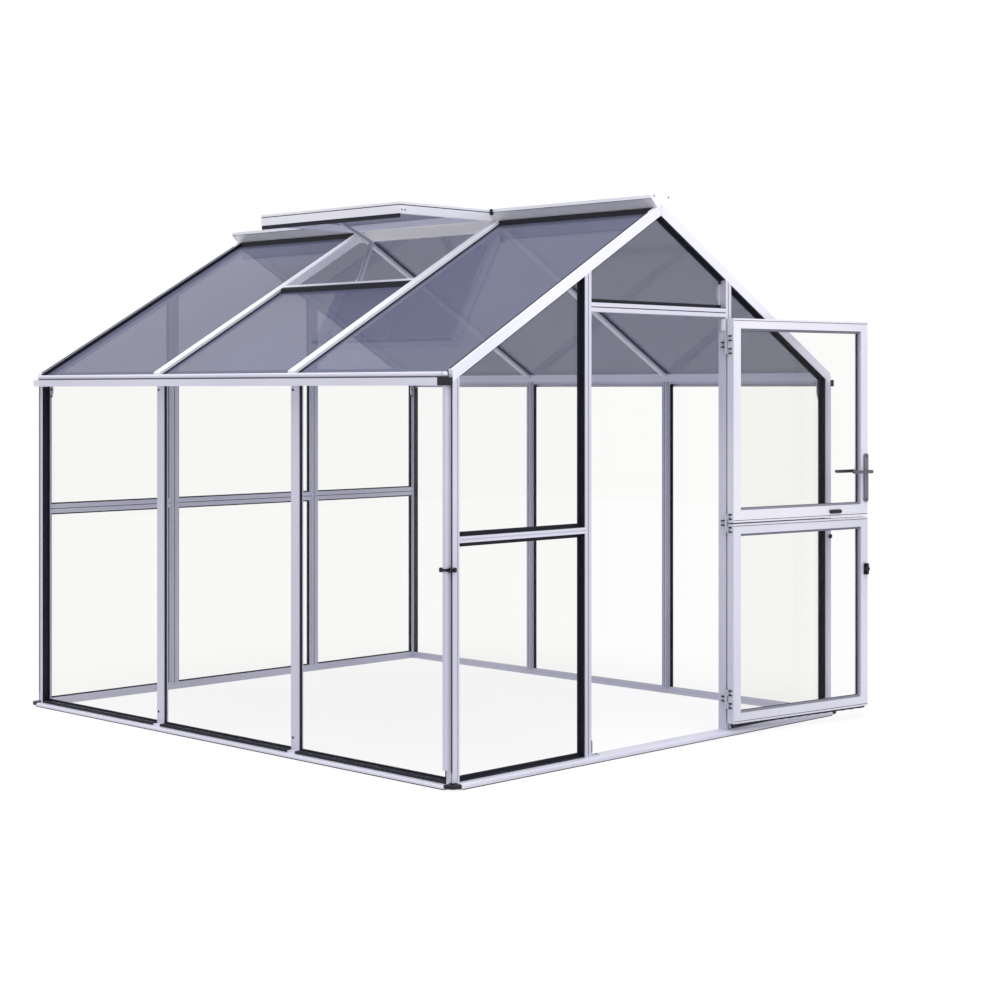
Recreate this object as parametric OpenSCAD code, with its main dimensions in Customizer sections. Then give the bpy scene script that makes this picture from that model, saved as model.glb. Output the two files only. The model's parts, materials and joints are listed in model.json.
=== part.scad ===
// Apex greenhouse: aluminium frame, clear walls, tinted twin-wall roof,
// one roof vent held open and a stable door swung out beside the gable.
// +X is to the right of the door, +Y is into the house, +Z is up.
// The origin is on the underside of the front sill, midway between its ends.

/* [House] */
// Width over the corner posts
frame_w = 2400; // [2100:10:3000]
// Length over the corner posts
frame_l = 2800; // [2100:10:4200]
// Roof pitch in degrees
pitch = 30; // [26:0.1:33]
// Number of bays along each long wall
bays = 3; // [3:1:4]

/* [Base] */
// Height of the sill's outer bead
sill_h = 24; // [20:1:40]
// How far the sill stands out beyond the posts
sill_out = 28; // [20:1:40]
// Depth of the sill inside the posts' faces
sill_in = 36; // [30:1:50]
// Height of the round nose on the sills of the long walls
long_nose_h = 17; // [14:1:24]
// Height of the lip behind the panes at the foot of a wall
upstand_h = 33; // [28:1:50]
// Length of each leg of a base corner plug
plug_leg = 48; // [44:1:80]
// Height of a base corner plug
plug_h = 20; // [12:1:22]
// Radius of a base corner plug's outer corner
plug_r = 30; // [10:1:40]

/* [Posts and rails] */
// Face width of a corner post
corner_w = 35; // [32:1:50]
// Face width of the posts in the gables
gable_post_w = 37; // [32:1:46]
// Depth of the posts in the gables
gable_post_d = 40; // [36:1:60]
// Face width of a wall post's cover strip
cover_w = 50; // [44:1:60]
// Set back of a wall post's cover strip behind the corner posts
cover_set = 20; // [12:1:24]
// Distance from the house's centre line to the centre of a door post
door_post_x = 450; // [420:5:560]
// Height of the middle rails' centre line
mid_h = 925; // [800:5:1100]
// Face height of a middle rail
mid_w = 24; // [20:1:40]
// Height of the door head's underside
head_h = 1797; // [1750:1:1850]
// Face height of the door head
head_w = 36; // [30:1:45]

/* [Glazing] */
// Set back of the panes behind the posts' faces
pane_set = 30; // [28:1:34]
// Thickness of a clear wall pane
pane_t = 4; // [3:0.5:8]
// Width of the gasket's face on a gable pane
gasket_w = 16; // [8:1:18]
// Width of the gasket's face on a long wall's pane
wall_gasket_w = 9; // [6:1:14]
// Wall thickness of a gasket
gasket_t = 2.5; // [2:0.5:4]

/* [Eaves] */
// Height of the gutter's underside
eave_h = 1500; // [1400:5:1520]
// Height of the rafters' top line above the gutter's underside at the posts' faces
eave_rise = 60; // [56:0.5:70]
// Height of the gutter's flat face
fascia_h = 30; // [24:1:40]
// Radius of the gutter's round lip
lip_r = 9.5; // [7:0.5:11]
// Length of the outlet at the gutter's front end
outlet_l = 55; // [45:1:90]
// Length of the cap at the gutter's rear end
end_cap_l = 48; // [20:1:80]
// Width of a downpipe along the wall
pipe_w = 17; // [14:1:20]
// Depth of a downpipe out from the wall
pipe_d = 24; // [18:1:26]
// Height of a downpipe's foot above the ground
pipe_foot = 72; // [50:1:120]

/* [Roof] */
// Depth of the gable rafters, square to the slope
rafter_h = 40; // [34:1:50]
// Width of the gable rafters along the house
rafter_w = 35; // [32:1:50]
// Width of a gable rafter's top face, outside the rebate for the panel
rafter_top_w = 22; // [16:1:28]
// Face width of a roof bar's cap
bar_cap_w = 46; // [40:1:56]
// Thickness of a roof bar's cap
bar_cap_t = 12; // [3:0.5:6]
// Width of a roof bar's web
bar_web_w = 22; // [16:1:30]
// Thickness of a roof panel
roof_t = 8; // [6:1:12]
// Half width of the ridge cap
ridge_half = 62; // [50:1:80]
// Half width of the ridge where it stands on the rafters
ridge_foot = 24; // [18:1:34]
// Height of the ridge cap's lower edge above the rafters' top line at the ridge
ridge_edge_h = 21.5; // [18:0.5:40]
// Height of the ridge cap's lips
ridge_lip_h = 14; // [8:1:20]
// Length of the roof vent from hinge to free edge
vent_len = 551; // [400:10:700]
// Angle that the vent stands open
vent_open = 30; // [10:1:36]

/* [Door] */
// Gap under the lower leaf, over the sill
leaf_foot_gap = 29.5; // [20:0.5:40]
// Height of the joint between the two leaves
split_h = 912; // [850:1:1050]
// Gap between a leaf and the posts beside it
side_gap = 11; // [9:0.5:14]
// Gap over the upper leaf and between the leaves
leaf_gap = 6; // [5.5:0.5:8]
// Face width of the leaves' stiles and rails
stile_w = 43; // [36:1:60]
// Face height of the rail at the foot of the upper leaf
split_rail_w = 52; // [40:1:60]
// Depth of the leaves
leaf_d = 38; // [34:1:46]
// Angle that both leaves stand open at rest
door_open = 172; // [0:1:174]

/* [Hidden] */
eps = 0.01;
half_w = frame_w / 2;
run = 1 / cos(pitch);
slope = tan(pitch);
ridge_h = eave_h + eave_rise + half_w * slope;
bay_l = (frame_l - corner_w) / bays;
// Glazed plane of the roof, measured square to the slope from the rafters' top line
panel_top = bar_cap_t + 6;
panel_low = panel_top + roof_t;
vent_bay = floor(bays / 2);
// Play between pieces that press together in the real house
seat = 0.3;
// Door post's two sides, the corner post's inner side and the heads of the side panes
post_in = door_post_x - gable_post_w / 2;
post_out = door_post_x + gable_post_w / 2;
corner_in = half_w - corner_w;
pane_top = eave_h + 22;
foot_z = sill_h + 1;
web_half = bar_web_w / 2;
// Lip behind the panes: its thickness, and how far it stands in from the posts' faces
lip_t = 6;
lip_end = pane_set + pane_t + lip_t + 2 * seat;
// Length of the sill that a corner plug takes up
plug_in = plug_leg - sill_out;
// Wall post: thickness of its cover strip and depth of the web behind it
cover_t = 5;
cover_web_d = 30;
// Grooves rolled down the posts and rails
groove_w = 4;
groove_d = 3;
// Channel down a corner post's outer side, next to its edge
channel_w = 9;
channel_d = 5;
// Underside of a corner plug, which hangs clear of the ground
plug_foot = 6;
// Eave beam: its underside over the wall posts and its inner face
beam_under = pane_top + 2;
beam_x = half_w - cover_set - cover_t - cover_web_d;
// Gutter: wall thickness, and the thin gap under its lip
gutter_t = 3;
lip_gap = 3;
lip_neck = 6;
// Downpipe: its wall, its place along the corner post and its clip
pipe_t = 2;
pipe_y = (corner_w - pipe_w) / 2 + 4;
clip_h = 10;
clip_t = 3;
clip_hook = 12;
clip_z = 810;
// Ridge: sheet thickness, and depth of the beam under the rafters' top line
ridge_t = 3;
ridge_drop = 60;
ridge_web_half = 14;
// Black seals on the roof: widths on the panel, and how far a bar's seal sits inside its cap's edge
rafter_seal_w = 5;
bar_seal_w = 7;
bar_seal_in = 4;
ridge_seal_w = 6;
vent_seal_w = 11;
// Roof vent: hinge place beside the ridge's lip, sash section and the bar under its free edge
vent_head_x = ridge_half + 1;
vent_head_z = ridge_h + 32;
vent_bar_w = 16;
sash_lap = 26;
vent_foot_x = vent_head_x + vent_len * cos(pitch) - sash_lap - vent_bar_w;
sash_h = 49;
sash_w = 28;
sash_edge = 10;
sash_seal_h = 4;
sash_flap_h = 18;
sash_over = 8.5;
sash_y0 = bar_y(vent_bay) - sash_over;
sash_l = bay_l + 2 * sash_over;
sash_panel_d = 12;
// Vent stay: place along the house, pivots and link sizes
stay_y = frame_l / 2 - 57;
stay_foot = [-vent_foot_x + 21, roof_z(vent_foot_x - 21, 8)];
stay_knee = stay_foot + [71, 172];
stay_head = [-vent_head_x, vent_head_z] + (vent_len - 22) * [-cos(pitch - vent_open), -sin(pitch - vent_open)]
    + (sash_h + 12) * [sin(pitch - vent_open), -cos(pitch - vent_open)];
stay_r = 7;
stay_bar_w = 15;
stay_arm_w = 13;
stay_arm_t = 4;
stay_out = stay_r + 1 + stay_arm_t;
// Hinge line of the door, in the gap between post and leaf
hinge_x = post_in - side_gap / 2;
hinge_y = -4;
knuckle_r = 5.2;
pin_r = 3;
pin_play = 0.05;
knuckle_h = 27;
knuckle_gap = 0.5;
plate_l = 16;
top_hinge_z = 1678;
foot_hinge_z = 157;
screw_r = 4;
leaf_w = 2 * (post_in - side_gap);
leaf_half = leaf_w / 2;
upper_z0 = split_h + leaf_gap / 2;
upper_z1 = head_h - leaf_gap;
lower_z0 = sill_h + leaf_foot_gap;
lower_z1 = split_h - leaf_gap / 2;
leaf_pane_y = 18;
leaf_bead_w = 5;
// Brush strip under the lower leaf
sweep_h = 13;
sweep_t = 8;
// Handle: plates, spindle and levers
handle_x = -leaf_half + 15;
handle_z = 1087;
plate_w = 25;
plate_h = 220;
plate_t = 8;
lever_z = 1115;
lever_reach = 115;
lever_stand = 34;
lever_t = 14;
neck_r = 8;
neck_play = 0.05;
// Bolt on the upper leaf and turning catch on the lower one
bolt_l = 72;
bolt_h = 17;
bolt_t = 9;
bolt_x = 214;
catch_z = 674;
catch_h = 50;
catch_w = 24;
catch_t = 16;
// Brackets that tie posts to sill, head and rafters
bracket_t = 3;
gusset_w = 20;

function roof_z(x, drop = 0) = ridge_h - abs(x) * slope - drop * run;
function bar_y(i) = corner_w / 2 + i * bay_l;
// Stretch of wall i between the posts' webs, and between their cover strips
function bay_y0(i) = i == 0 ? corner_w : bar_y(i) + web_half;
function bay_y1(i) = i == bays - 1 ? frame_l - corner_w : bar_y(i + 1) - web_half;
function open_y0(i) = i == 0 ? corner_w : bar_y(i) + cover_w / 2;
function open_y1(i) = i == bays - 1 ? frame_l - corner_w : bar_y(i + 1) - cover_w / 2;
// Stretch of roof panel i between the rafters' rebates or the bars' webs
function panel_y0(i) = i == 0 ? rafter_top_w + seat : bay_y0(i) + seat;
function panel_y1(i) = i == bays - 1 ? frame_l - rafter_top_w - seat : bay_y1(i) - seat;

// ---- shared shapes ----
module along_y(y0, y1) {
    translate([0, y1, 0]) rotate([90, 0, 0]) linear_extrude(y1 - y0) children();
}
module along_x(x0, x1) {
    translate([x0, 0, 0]) rotate([90, 0, 90]) linear_extrude(x1 - x0) children();
}
module both_sides() {
    children();
    mirror([1, 0, 0]) children();
}
module both_ends() {
    children();
    translate([0, frame_l, 0]) mirror([0, 1, 0]) children();
}
module at_rear() {
    translate([0, frame_l, 0]) mirror([0, 1, 0]) children();
}
// Layer of the gable between the depths y0 and y1 behind the posts' faces
module gable_layer(y0, y1) along_y(y0, y1) children();
// Layer of the left slope between the distances x0 and x1 from the house's centre line
// and the depths d0 and d1 below the rafters' top line, cut plumb at both ends
module roof_layer(x0, x1, d0, d1) polygon([
    [-x0, roof_z(x0, d0)], [-x1, roof_z(x1, d0)], [-x1, roof_z(x1, d1)], [-x0, roof_z(x0, d1)]]);

// ---- base ----
// Sill section: a round-nosed bead of height h stands out in front of the posts' shelf.
module sill_nose(h) {
    nose = h / 2;
    translate([-sill_out + nose, 0]) square([sill_out - nose, h]);
    translate([-sill_out, 0]) square([nose, nose]);
    intersection() {
        translate([-sill_out + nose, nose]) circle(nose, $fn = 48);
        translate([-sill_out, nose]) square(nose);
    }
    translate([-eps, 0]) square([plug_in + eps, sill_h]);
}
// Flat back of the sill, inside the corner plugs
module sill_back() translate([plug_in, 0]) square([sill_in - plug_in, sill_h]);
module lip_section() translate([pane_set + pane_t + seat, sill_h - eps]) square([lip_t, upstand_h - sill_h]);
module long_sill() translate([-half_w, 0, 0]) {
    along_y(plug_in, frame_l - plug_in) sill_nose(long_nose_h);
    along_y(sill_in, frame_l - sill_in) sill_back();
    for (i = [0:bays - 1]) along_y(bay_y0(i), bay_y1(i)) lip_section();
}
module left_sill() color("gainsboro") long_sill();
module right_sill() color("gainsboro") mirror([1, 0, 0]) long_sill();
module gable_sill() along_x(plug_in - half_w, half_w - plug_in) {
    sill_nose(sill_h);
    sill_back();
}
module front_sill() color("gainsboro") {
    gable_sill();
    both_sides() along_x(-half_w + lip_end, -post_out) lip_section();
}
module rear_sill() color("gainsboro") at_rear() {
    gable_sill();
    both_sides() along_x(-half_w + lip_end, -post_out) lip_section();
    along_x(-post_in, post_in) lip_section();
}
module plug() translate([-half_w - sill_out, -sill_out, plug_foot])
    linear_extrude(plug_h - plug_foot) union() {
        intersection() {
            translate([plug_r, plug_r]) circle(plug_r, $fn = 64);
            square(plug_leg);
        }
        translate([plug_r, 0]) square([plug_leg - plug_r, plug_leg]);
        translate([0, plug_r]) square([plug_leg, plug_leg - plug_r]);
    }
module base_corner_plugs() color([0.12, 0.12, 0.14]) both_ends() both_sides() plug();

// ---- posts and rails ----
// Corner post: square, with a groove down its face and a channel down its side, cut to the slope at its head.
module corner_post() difference() {
    gable_layer(0, corner_w) polygon([
        [-half_w, sill_h], [-corner_in, sill_h],
        [-corner_in, roof_z(corner_in, rafter_h)], [-half_w, roof_z(half_w, rafter_h)]]);
    translate([-half_w + corner_w - 3 * groove_w, -1, 0]) cube([groove_w, groove_d + 1, ridge_h]);
    translate([-half_w - 1, 2, 0]) cube([channel_d + 1, channel_w, ridge_h]);
}
module corner_posts() color("lavender") both_ends() both_sides() corner_post();

// Wall post: a flat cover strip outside and a web behind it, up to the eave beam.
module wall_post(i) translate([-half_w, bar_y(i), sill_h]) linear_extrude(beam_under - sill_h) {
    translate([cover_set, -cover_w / 2]) square([cover_t, cover_w]);
    translate([cover_set + cover_t - eps, -web_half]) square([cover_web_d, bar_web_w]);
}
module left_wall_posts() color("lavender") for (i = [1:bays - 1]) wall_post(i);
module right_wall_posts() color("lavender") mirror([1, 0, 0]) for (i = [1:bays - 1]) wall_post(i);

// Gable post: square section with a groove down its face, cut to the slope at its head.
module gable_post() difference() {
    gable_layer(0, gable_post_d) polygon([
        [-post_out, sill_h], [-post_in, sill_h],
        [-post_in, roof_z(post_in, rafter_h)], [-post_out, roof_z(post_out, rafter_h)]]);
    translate([-door_post_x - groove_w / 2, -1, 0]) cube([groove_w, groove_d + 1, ridge_h]);
}
module door_posts() color("lavender") both_sides() gable_post();
module rear_gable_posts() color("lavender") at_rear() both_sides() gable_post();

module rail_section(h) {
    difference() {
        square([pane_set + pane_t + 6, h]);
        translate([-1, (h - groove_w) / 2]) square([groove_d + 1, groove_w]);
    }
}
module mid_rail(x0, x1) {
    translate([0, 0, mid_h - mid_w / 2]) along_x(x0, x1) rail_section(mid_w);
}
module front_mid_rails() color("lavender") both_sides() mid_rail(-corner_in, -post_out);
module rear_mid_rails() color("lavender") at_rear() {
    both_sides() mid_rail(-corner_in, -post_out);
    mid_rail(-post_in, post_in);
}
module door_head() color("lavender") translate([0, 0, head_h]) along_x(-post_in, post_in)
    rail_section(head_w);

// ---- panes and gaskets ----
// Bays of a gable as outlines in X and Z, drawn g inside the bars round them.
module side_bay_lower(g = 0) {
    low = foot_z + g;
    top = mid_h - mid_w / 2 - g;
    polygon([[-corner_in + g, low], [-post_out - g, low], [-post_out - g, top], [-corner_in + g, top]]);
}
module side_bay_upper(g = 0) {
    low = mid_h + mid_w / 2 + g;
    polygon([[-corner_in + g, low], [-post_out - g, low],
             [-post_out - g, roof_z(post_out + g, rafter_h + g)],
             [-corner_in + g, roof_z(corner_in - g, rafter_h + g)]]);
}
module apex_bay(low, g = 0) {
    edge_z = roof_z(post_in - g, rafter_h + g);
    polygon([[-post_in + g, low + g], [post_in - g, low + g], [post_in - g, edge_z],
             [0, roof_z(0, rafter_h + g)], [-post_in + g, edge_z]]);
}
module centre_bay_lower(g = 0) {
    translate([-post_in + g, foot_z + g])
        square([2 * (post_in - g), mid_h - mid_w / 2 - foot_z - 2 * g]);
}
module pane_layer() gable_layer(pane_set, pane_set + pane_t) children();
module gable_side_panes() both_sides() pane_layer() {
    side_bay_lower(seat);
    side_bay_upper(seat);
}
module front_panes() color([0.9, 0.93, 0.95, 0.35]) {
    gable_side_panes();
    pane_layer() apex_bay(head_h + head_w, seat);
}
module rear_panes() color([0.9, 0.93, 0.95, 0.35]) at_rear() {
    gable_side_panes();
    pane_layer() {
        centre_bay_lower(seat);
        apex_bay(mid_h + mid_w / 2, seat);
    }
}

// A gasket lines the reveal round a pane and folds over the pane's face.
// Children are the bay's outline at the seat, at the lining and at the fold.
module gable_gasket() {
    gable_layer(3, pane_set - seat) difference() {
        children(0);
        children(1);
    }
    gable_layer(pane_set - gasket_t - seat, pane_set - seat) difference() {
        children(0);
        children(2);
    }
}
module side_gaskets() both_sides() {
    gable_gasket() {
        side_bay_lower(seat);
        side_bay_lower(gasket_t);
        side_bay_lower(gasket_w);
    }
    gable_gasket() {
        side_bay_upper(seat);
        side_bay_upper(gasket_t);
        side_bay_upper(gasket_w);
    }
}
module apex_gasket(low) gable_gasket() {
    apex_bay(low, seat);
    apex_bay(low, gasket_t);
    apex_bay(low, gasket_w);
}
// The small pane over the door has its gasket along the rafters and the door's head only.
module apex_open(low, g) intersection() {
    apex_bay(low, seat);
    union() {
        apex_bay(low, g);
        translate([-post_in, low + g]) square([2 * post_in, roof_z(post_in, rafter_h + g) - low - g]);
    }
}
module head_gasket() gable_gasket() {
    apex_bay(head_h + head_w, seat);
    apex_open(head_h + head_w, gasket_t);
    apex_open(head_h + head_w, gasket_w);
}
module gable_gaskets() color([0.1, 0.1, 0.12]) {
    side_gaskets();
    head_gasket();
    at_rear() {
        side_gaskets();
        apex_gasket(mid_h + mid_w / 2);
        gable_gasket() {
            centre_bay_lower(seat);
            centre_bay_lower(gasket_t);
            centre_bay_lower(gasket_w);
        }
    }
}

module wall_layer(x0, x1) {
    translate([-half_w + x0, 0, 0]) rotate([90, 0, 90]) linear_extrude(x1 - x0) children();
}
module long_panes() wall_layer(pane_set, pane_set + pane_t) for (i = [0:bays - 1])
    translate([bay_y0(i) + seat, foot_z]) square([bay_y1(i) - bay_y0(i) - 2 * seat, pane_top - foot_z]);
module left_wall_panes() color([0.9, 0.93, 0.95, 0.35]) long_panes();
module right_wall_panes() color([0.9, 0.93, 0.95, 0.35]) mirror([1, 0, 0]) long_panes();
module long_gasket(i) {
    low_lip = foot_z + wall_gasket_w;
    high_lip = pane_top - wall_gasket_w;
    y0 = open_y0(i) + seat;
    y1 = open_y1(i) - seat;
    wall_layer(pane_set - gasket_t - seat, pane_set - seat) difference() {
        translate([bay_y0(i) + seat, foot_z])
            square([bay_y1(i) - bay_y0(i) - 2 * seat, pane_top - foot_z]);
        translate([y0 + wall_gasket_w, low_lip]) square([y1 - y0 - 2 * wall_gasket_w, high_lip - low_lip]);
    }
    // Lining of the recess: over the shelf's edge, along its foot, and up the corner posts' sides
    wall_layer(-gasket_t, -seat) translate([y0, long_nose_h + seat])
        square([y1 - y0, foot_z + gasket_t - long_nose_h - seat]);
    wall_layer(-gasket_t, pane_set - seat) {
        translate([y0, foot_z]) square([y1 - y0, gasket_t]);
        if (i == 0) translate([y0, foot_z]) square([gasket_t, eave_h - foot_z - 2]);
        if (i == bays - 1) translate([y1 - gasket_t, foot_z]) square([gasket_t, eave_h - foot_z - 2]);
    }
}
module wall_gaskets() color([0.1, 0.1, 0.12]) both_sides() for (i = [0:bays - 1]) long_gasket(i);

// ---- eaves and rainwater ----
// Gutter section: a flat outer face, hollow for the water, with a round lip above it.
module gutter_box() difference() {
    translate([-sill_out, eave_h]) square([sill_out, fascia_h]);
    translate([-sill_out + gutter_t, eave_h + gutter_t])
        square([sill_out - 2 * gutter_t, fascia_h - 2 * gutter_t]);
}
module gutter_lip() {
    z0 = eave_h + fascia_h;
    translate([-sill_out + lip_r, z0 + lip_gap + lip_r]) circle(lip_r, $fn = 48);
    translate([-sill_out + lip_r - lip_neck / 2, z0]) square([lip_neck, lip_gap + lip_r]);
}
// Eave beam section: it covers the heads of the wall posts and carries the roof.
module eave_beam() translate([half_w, 0]) polygon([
    [-half_w - eps, eave_h], [-half_w + cover_set - 1, eave_h], [-half_w + cover_set - 1, beam_under],
    [-beam_x, beam_under], [-beam_x, roof_z(beam_x, panel_low + seat)],
    [-half_w - eps, roof_z(half_w, panel_low + seat)]]);
module gutter() translate([-half_w, 0, 0]) {
    along_y(outlet_l, frame_l - end_cap_l) gutter_box();
    along_y(rafter_w, frame_l - rafter_w) gutter_lip();
    along_y(corner_w, frame_l - corner_w) eave_beam();
}
module left_gutter() color("lavender") gutter();
module right_gutter() color("lavender") mirror([1, 0, 0]) gutter();
module gutter_outlets() color([0.15, 0.15, 0.17]) both_sides()
    translate([-half_w - sill_out, 0, eave_h]) cube([sill_out, outlet_l, fascia_h]);
module gutter_end_caps() color("white") both_sides()
    translate([-half_w - sill_out, frame_l - end_cap_l, eave_h]) cube([sill_out, end_cap_l, fascia_h]);
module downpipes() color("lavender") both_sides() translate([-half_w - pipe_d, pipe_y, pipe_foot])
    linear_extrude(eave_h - pipe_foot) difference() {
        square([pipe_d, pipe_w]);
        translate([pipe_t, pipe_t]) square([pipe_d - 2 * pipe_t, pipe_w - 2 * pipe_t]);
    }
// Clip: a strap round the pipe, with a tail that hooks round the post's front edge.
module downpipe_clips() color([0.12, 0.12, 0.14]) both_sides() translate([-half_w, pipe_y, clip_z])
    linear_extrude(clip_h) {
        difference() {
            translate([-pipe_d - clip_t, -clip_t]) square([pipe_d + clip_t, pipe_w + 2 * clip_t]);
            translate([-pipe_d, 0]) square([pipe_d + clip_t, pipe_w]);
        }
        translate([-clip_t, -pipe_y - clip_t]) square([clip_t, pipe_y + 1]);
        translate([-clip_t, -pipe_y - clip_t]) square([clip_t + clip_hook, clip_t]);
    }

// ---- roof ----
// Gable rafter: a full-depth outer edge and a rebate behind it that carries the panel.
module rafter() {
    gable_layer(0, rafter_top_w) roof_layer(half_w, 1, 0, rafter_h);
    gable_layer(rafter_top_w - eps, rafter_w) roof_layer(half_w, 1, panel_low + seat, rafter_h);
}
module left_rafters() color("white") both_ends() rafter();
module right_rafters() color("white") mirror([1, 0, 0]) both_ends() rafter();
// Roof bar: a broad cap over the panels' edges on a narrow web between them.
module roof_bar(i) {
    along_y(bar_y(i) - bar_cap_w / 2, bar_y(i) + bar_cap_w / 2)
        roof_layer(half_w, ridge_web_half + 2, 0, bar_cap_t);
    difference() {
        along_y(bar_y(i) - web_half, bar_y(i) + web_half) {
            roof_layer(beam_x, ridge_web_half + 2, bar_cap_t - eps, rafter_h);
            roof_layer(half_w, beam_x - eps, bar_cap_t - eps, panel_low + seat - eps);
        }
        // Slot along the underside
        along_y(bar_y(i) - 4, bar_y(i) + 4)
            roof_layer(beam_x - 2, ridge_web_half + 1, rafter_h - 10, rafter_h + 5);
    }
}
module left_roof_bars() color("white") for (i = [1:bays - 1]) roof_bar(i);
module right_roof_bars() color("white") mirror([1, 0, 0]) for (i = [1:bays - 1]) roof_bar(i);
// Ridge: wings rise from the rafters to the cap's lips, over a web between the panels' heads.
ridge_edge_z = ridge_h + ridge_edge_h;
ridge_top_z = ridge_edge_z + ridge_lip_h + ridge_half * slope;
module ridge_beam() color("gray") {
    along_y(seat + ridge_t, frame_l - seat - ridge_t) polygon([
        [0, ridge_h + seat * run], [ridge_foot, roof_z(ridge_foot, -seat)],
        [ridge_half - ridge_t - 3, ridge_edge_z], [ridge_half - ridge_t - seat, ridge_edge_z],
        [ridge_half - ridge_t - seat, ridge_edge_z + ridge_lip_h - ridge_t * run],
        [0, ridge_top_z - ridge_t * run - seat],
        [-ridge_half + ridge_t + seat, ridge_edge_z + ridge_lip_h - ridge_t * run],
        [-ridge_half + ridge_t + seat, ridge_edge_z], [-ridge_half + ridge_t + 3, ridge_edge_z],
        [-ridge_foot, roof_z(ridge_foot, -seat)]]);
    along_y(rafter_w, frame_l - rafter_w) translate([-ridge_web_half, ridge_h - ridge_drop])
        square([2 * ridge_web_half, ridge_drop + 2]);
}
// Sheet cap over the wings, with a lip along each edge and a plate over each end.
module ridge_outline() polygon([
    [-ridge_half, ridge_edge_z], [-ridge_half, ridge_edge_z + ridge_lip_h], [0, ridge_top_z],
    [ridge_half, ridge_edge_z + ridge_lip_h], [ridge_half, ridge_edge_z],
    [ridge_foot, roof_z(ridge_foot, -seat)], [0, ridge_h + seat * run],
    [-ridge_foot, roof_z(ridge_foot, -seat)]]);
module ridge_cap() color("white") {
    along_y(0, frame_l) polygon([
        [-ridge_half, ridge_edge_z], [-ridge_half, ridge_edge_z + ridge_lip_h], [0, ridge_top_z],
        [ridge_half, ridge_edge_z + ridge_lip_h], [ridge_half, ridge_edge_z],
        [ridge_half - ridge_t, ridge_edge_z],
        [ridge_half - ridge_t, ridge_edge_z + ridge_lip_h - ridge_t * run / 2],
        [0, ridge_top_z - ridge_t * run],
        [-ridge_half + ridge_t, ridge_edge_z + ridge_lip_h - ridge_t * run / 2],
        [-ridge_half + ridge_t, ridge_edge_z]]);
    both_ends() along_y(0, ridge_t) ridge_outline();
}
module roof_panel(i, head) along_y(panel_y0(i), panel_y1(i))
    roof_layer(half_w, head, panel_top, panel_low);
module slope_panels(has_vent) for (i = [0:bays - 1])
    roof_panel(i, has_vent && i == vent_bay ? vent_foot_x + vent_bar_w + seat : ridge_web_half + seat);
module left_roof_panels() color([0.5, 0.52, 0.65, 0.8]) slope_panels(true);
module right_roof_panels() color([0.5, 0.52, 0.65, 0.8]) mirror([1, 0, 0]) slope_panels(false);

// ---- roof vent ----
module vent_sill_bar() color("lavender") {
    along_y(bay_y0(vent_bay) + seat, bay_y1(vent_bay) - seat)
        roof_layer(vent_foot_x + vent_bar_w, vent_foot_x, bar_cap_t + seat, rafter_h - 8);
    along_y(bar_y(vent_bay) + bar_cap_w / 2 + seat, bar_y(vent_bay + 1) - bar_cap_w / 2 - seat)
        roof_layer(vent_foot_x + vent_bar_w, vent_foot_x, 0, bar_cap_t + seat + eps);
}
// The sash turns about its head beside the ridge; X runs down the sash here and Z up from its underside.
module on_sash() {
    translate([-vent_head_x, 0, vent_head_z]) rotate([0, 180 - pitch + vent_open, 0])
        mirror([0, 0, 1]) translate([0, 0, -sash_h]) children();
}
module sash_ring(d) translate([d, sash_y0 + d]) square([vent_len - 2 * d, sash_l - 2 * d]);
module sash_layer(z0, z1, d0, d1) translate([0, 0, z0]) linear_extrude(z1 - z0) difference() {
    sash_ring(d0);
    sash_ring(d1);
}
module vent_sash() color("lavender") on_sash() {
    sash_layer(0, sash_h - sash_edge - sash_seal_h + eps, 0, sash_w);
    sash_layer(sash_h - sash_edge - sash_seal_h, sash_h - sash_edge, 4, sash_w);
    sash_layer(sash_h - sash_edge - eps, sash_h, 0, sash_w);
}
module vent_panel() color([0.5, 0.52, 0.65, 0.8]) on_sash()
    translate([sash_w + seat, sash_y0 + sash_w + seat, sash_h - sash_panel_d - roof_t])
        cube([vent_len - 2 * (sash_w + seat), sash_l - 2 * (sash_w + seat), roof_t]);
// Stay: a bar from the sash's free edge to a knee, and a pair of arms from the knee to the bar below.
module link(a, b, w) {
    for (p = [a, b]) translate(p) circle(w / 2, $fn = 32);
    translate(a) rotate(atan2(b.y - a.y, b.x - a.x)) translate([0, -w / 2 + 1]) square([norm(b - a), w - 2]);
}
module pivot(p) along_y(-stay_out - 1.5, stay_out + 1.5) translate(p) circle(4, $fn = 32);
module vent_stay() color("silver") translate([0, stay_y, 0]) {
    along_y(-stay_r, stay_r) link(stay_head, stay_knee, stay_bar_w);
    for (y = [-stay_out, stay_out - stay_arm_t])
        along_y(y, y + stay_arm_t) link(stay_knee, stay_foot, stay_arm_w);
    pivot(stay_knee);
    pivot(stay_foot);
    // Lug under the sash's free edge and bracket on the bar under the vent
    along_y(-stay_r + 2, stay_r - 2) {
        translate(stay_head) rotate(vent_open - pitch) translate([-5, -4]) square([10, 16 - seat]);
        translate(stay_foot) translate([-21 + seat, -8]) square([27, 14]);
    }
}

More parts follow.
